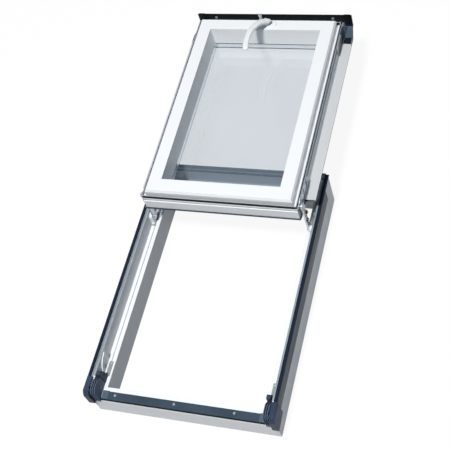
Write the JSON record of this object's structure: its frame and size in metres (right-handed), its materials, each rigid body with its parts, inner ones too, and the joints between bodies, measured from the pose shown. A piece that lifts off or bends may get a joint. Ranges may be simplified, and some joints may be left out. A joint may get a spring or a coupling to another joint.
{
  "type": "roof skylight",
  "caption": "Roof window with a white plastic frame, dark sheet cladding and a glazed sash that folds right over on hinged side arms, with a curved handle.",
  "frame": {"origin": "middle of the sill's room-side face, where the fixed frame sits on the roof structure", "axes": "+X across the window to the right as seen from outside with the sill below, +Y up the slope of the roof from sill to head, +Z outwards through the roof"},
  "size_m": [0.562, 1.343, 0.3246],
  "materials": {
    "anthracite": "anthracite lacquered aluminium sheet, satin",
    "black_plastic": "moulded black plastic",
    "glass": "clear coated pane",
    "grey_plastic": "moulded grey plastic",
    "navy_plastic": "moulded anthracite plastic",
    "pvc": "smooth white uPVC, slight sheen",
    "rubber": "black extruded rubber",
    "spacer": "mill aluminium",
    "white_plastic": "moulded white plastic",
    "zinc": "zinc-plated steel, bright"
  },
  "bodies": {
    "frame": {"bellows_left": "rubber", "bellows_right": "rubber", "catch_hook_left": "white_plastic", "catch_hook_right": "white_plastic", "catch_plate_left": "grey_plastic", "catch_plate_right": "grey_plastic", "cladding_left": "anthracite", "cladding_right": "anthracite", "corner_block_left": "navy_plastic", "corner_block_right": "navy_plastic", "corner_cap_left": "navy_plastic", "corner_cap_right": "navy_plastic", "frame_gasket": "rubber", "frame_hinge_pins": "zinc", "frame_pvc": "pvc", "head_cladding": "anthracite", "hinge_bearing_left": "white_plastic", "hinge_bearing_right": "white_plastic", "hinge_shoe_left": "grey_plastic", "hinge_shoe_right": "grey_plastic", "latch_keeper": "zinc", "sill_cladding": "anthracite", "sill_end_plate_left": "anthracite", "sill_end_plate_right": "anthracite", "sill_screws": "zinc", "sill_seal": "rubber", "slot_plates": "zinc"},
    "hinge_arms": {"hinge_arm_left": "zinc", "hinge_arm_right": "zinc"},
    "sash": {"cap_seal": "rubber", "channel_pins": "zinc", "corner_pads": "rubber", "corner_plate_left": "anthracite", "corner_plate_right": "anthracite", "glazing_gasket": "rubber", "guard_tongue_left": "grey_plastic", "guard_tongue_right": "grey_plastic", "handle_rose": "white_plastic", "hinge_bolts": "zinc", "hinge_channel_left": "zinc", "hinge_channel_right": "zinc", "inner_pane": "glass", "outer_pane": "glass", "pane_spacer": "spacer", "sash_cladding_head": "anthracite", "sash_cladding_left": "anthracite", "sash_cladding_right": "anthracite", "sash_cladding_skirt": "anthracite", "sash_gasket": "rubber", "sash_pvc": "pvc", "side_guard_left": "navy_plastic", "side_guard_right": "navy_plastic", "skirt_end_left": "black_plastic", "skirt_end_right": "black_plastic", "skirt_screws": "zinc", "spring_clip_left": "zinc", "spring_clip_right": "zinc"},
    "handle": {"handle_lever": "white_plastic", "latch_nose": "zinc", "handle_spindle": "zinc"}
  },
  "joints": [
    {"name": "arm_swing", "type": "hinge", "parent": "frame", "child": "hinge_arms", "pos_m": [0, 0.5843, 0.108], "axis": [1, 0, 0], "range_deg": [-90, 0]},
    {"name": "sash_fold", "type": "hinge", "parent": "hinge_arms", "child": "sash", "pos_m": [0, 0.5843, 0.225], "axis": [1, 0, 0], "range_deg": [0, 270]},
    {"name": "handle_turn", "type": "hinge", "parent": "sash", "child": "handle", "pos_m": [0.002, 1.2353, 0.275], "axis": [0, 0, -1], "range_deg": [0, 80]}
  ],
  "couplings": [
    {"joint": "arm_swing", "follows": "sash_fold", "ratio": -0.33333}
  ]
}
